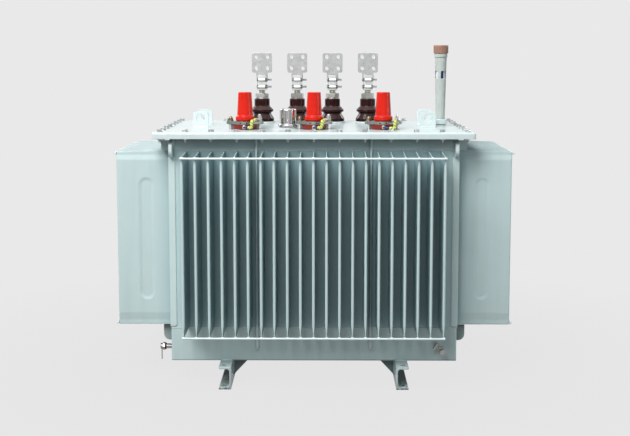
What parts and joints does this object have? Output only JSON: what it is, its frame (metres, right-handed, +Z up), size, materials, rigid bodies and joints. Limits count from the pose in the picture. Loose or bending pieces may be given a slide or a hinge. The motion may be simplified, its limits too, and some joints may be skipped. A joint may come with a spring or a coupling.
{
  "type": "distribution transformer",
  "caption": "Oil-filled three-phase distribution transformer with corrugated fin tank, channel feet, high and low voltage bushings, relief valve and filler pipe on the cover.",
  "frame": {"origin": "on the floor, under the middle of the tank", "axes": "+X along the tank to the filler pipe end, +Y from the high voltage side to the low voltage side, +Z up"},
  "size_m": [1.434, 0.872, 1.209],
  "materials": {
    "tank_paint": "semi-gloss paint",
    "cover_paint": "gloss paint",
    "galvanised": "galvanised, satin",
    "tinned": "tinned, satin",
    "red_cap": "gloss",
    "brown_resin": "satin",
    "porcelain": "brown glaze",
    "chrome": "polished",
    "filler_plastic": "satin",
    "filler_cap": "satin",
    "clear_glass": "clear",
    "float_blue": "satin",
    "earth_wire": "satin",
    "brass": "plain"
  },
  "bodies": {
    "root": {"base_tray": "tank_paint", "corner_strips": "tank_paint", "cover": "cover_paint", "cover_lugs": "cover_paint", "drain_valve": "tank_paint", "filler_cap": "filler_cap", "filler_seat": "cover_paint", "filler_tube": "filler_plastic", "flange_brackets": "tank_paint", "foot_gussets": "tank_paint", "front_fin_wall": "tank_paint", "front_tie_bars": "tank_paint", "hv_bushing_a": "brown_resin", "hv_bushing_b": "brown_resin", "hv_bushing_c": "brown_resin", "hv_cap_a": "red_cap", "hv_cap_b": "red_cap", "hv_cap_c": "red_cap", "hv_clamp_plates": "galvanised", "hv_earth_leads": "earth_wire", "hv_studs": "galvanised", "jacking_lugs": "tank_paint", "left_fin_wall": "tank_paint", "left_foot": "tank_paint", "left_tie_bars": "tank_paint", "lifting_ears": "tank_paint", "lv_clamp_bolts": "galvanised", "lv_collars": "cover_paint", "lv_insulator_a": "porcelain", "lv_insulator_b": "porcelain", "lv_insulator_c": "porcelain", "lv_insulator_n": "porcelain", "lv_nuts": "tinned", "lv_studs": "brass", "lv_terminal_a": "tinned", "lv_terminal_b": "tinned", "lv_terminal_c": "tinned", "lv_terminal_n": "tinned", "oil_float": "float_blue", "rear_fin_wall": "tank_paint", "rear_tie_bars": "tank_paint", "relief_valve": "chrome", "relief_valve_seat": "cover_paint", "right_fin_wall": "tank_paint", "right_foot": "tank_paint", "right_tie_bars": "tank_paint", "sampling_valve": "galvanised", "sight_glass": "clear_glass", "stiffener_rods": "tank_paint", "top_frame": "tank_paint"}
  },
  "joints": []
}
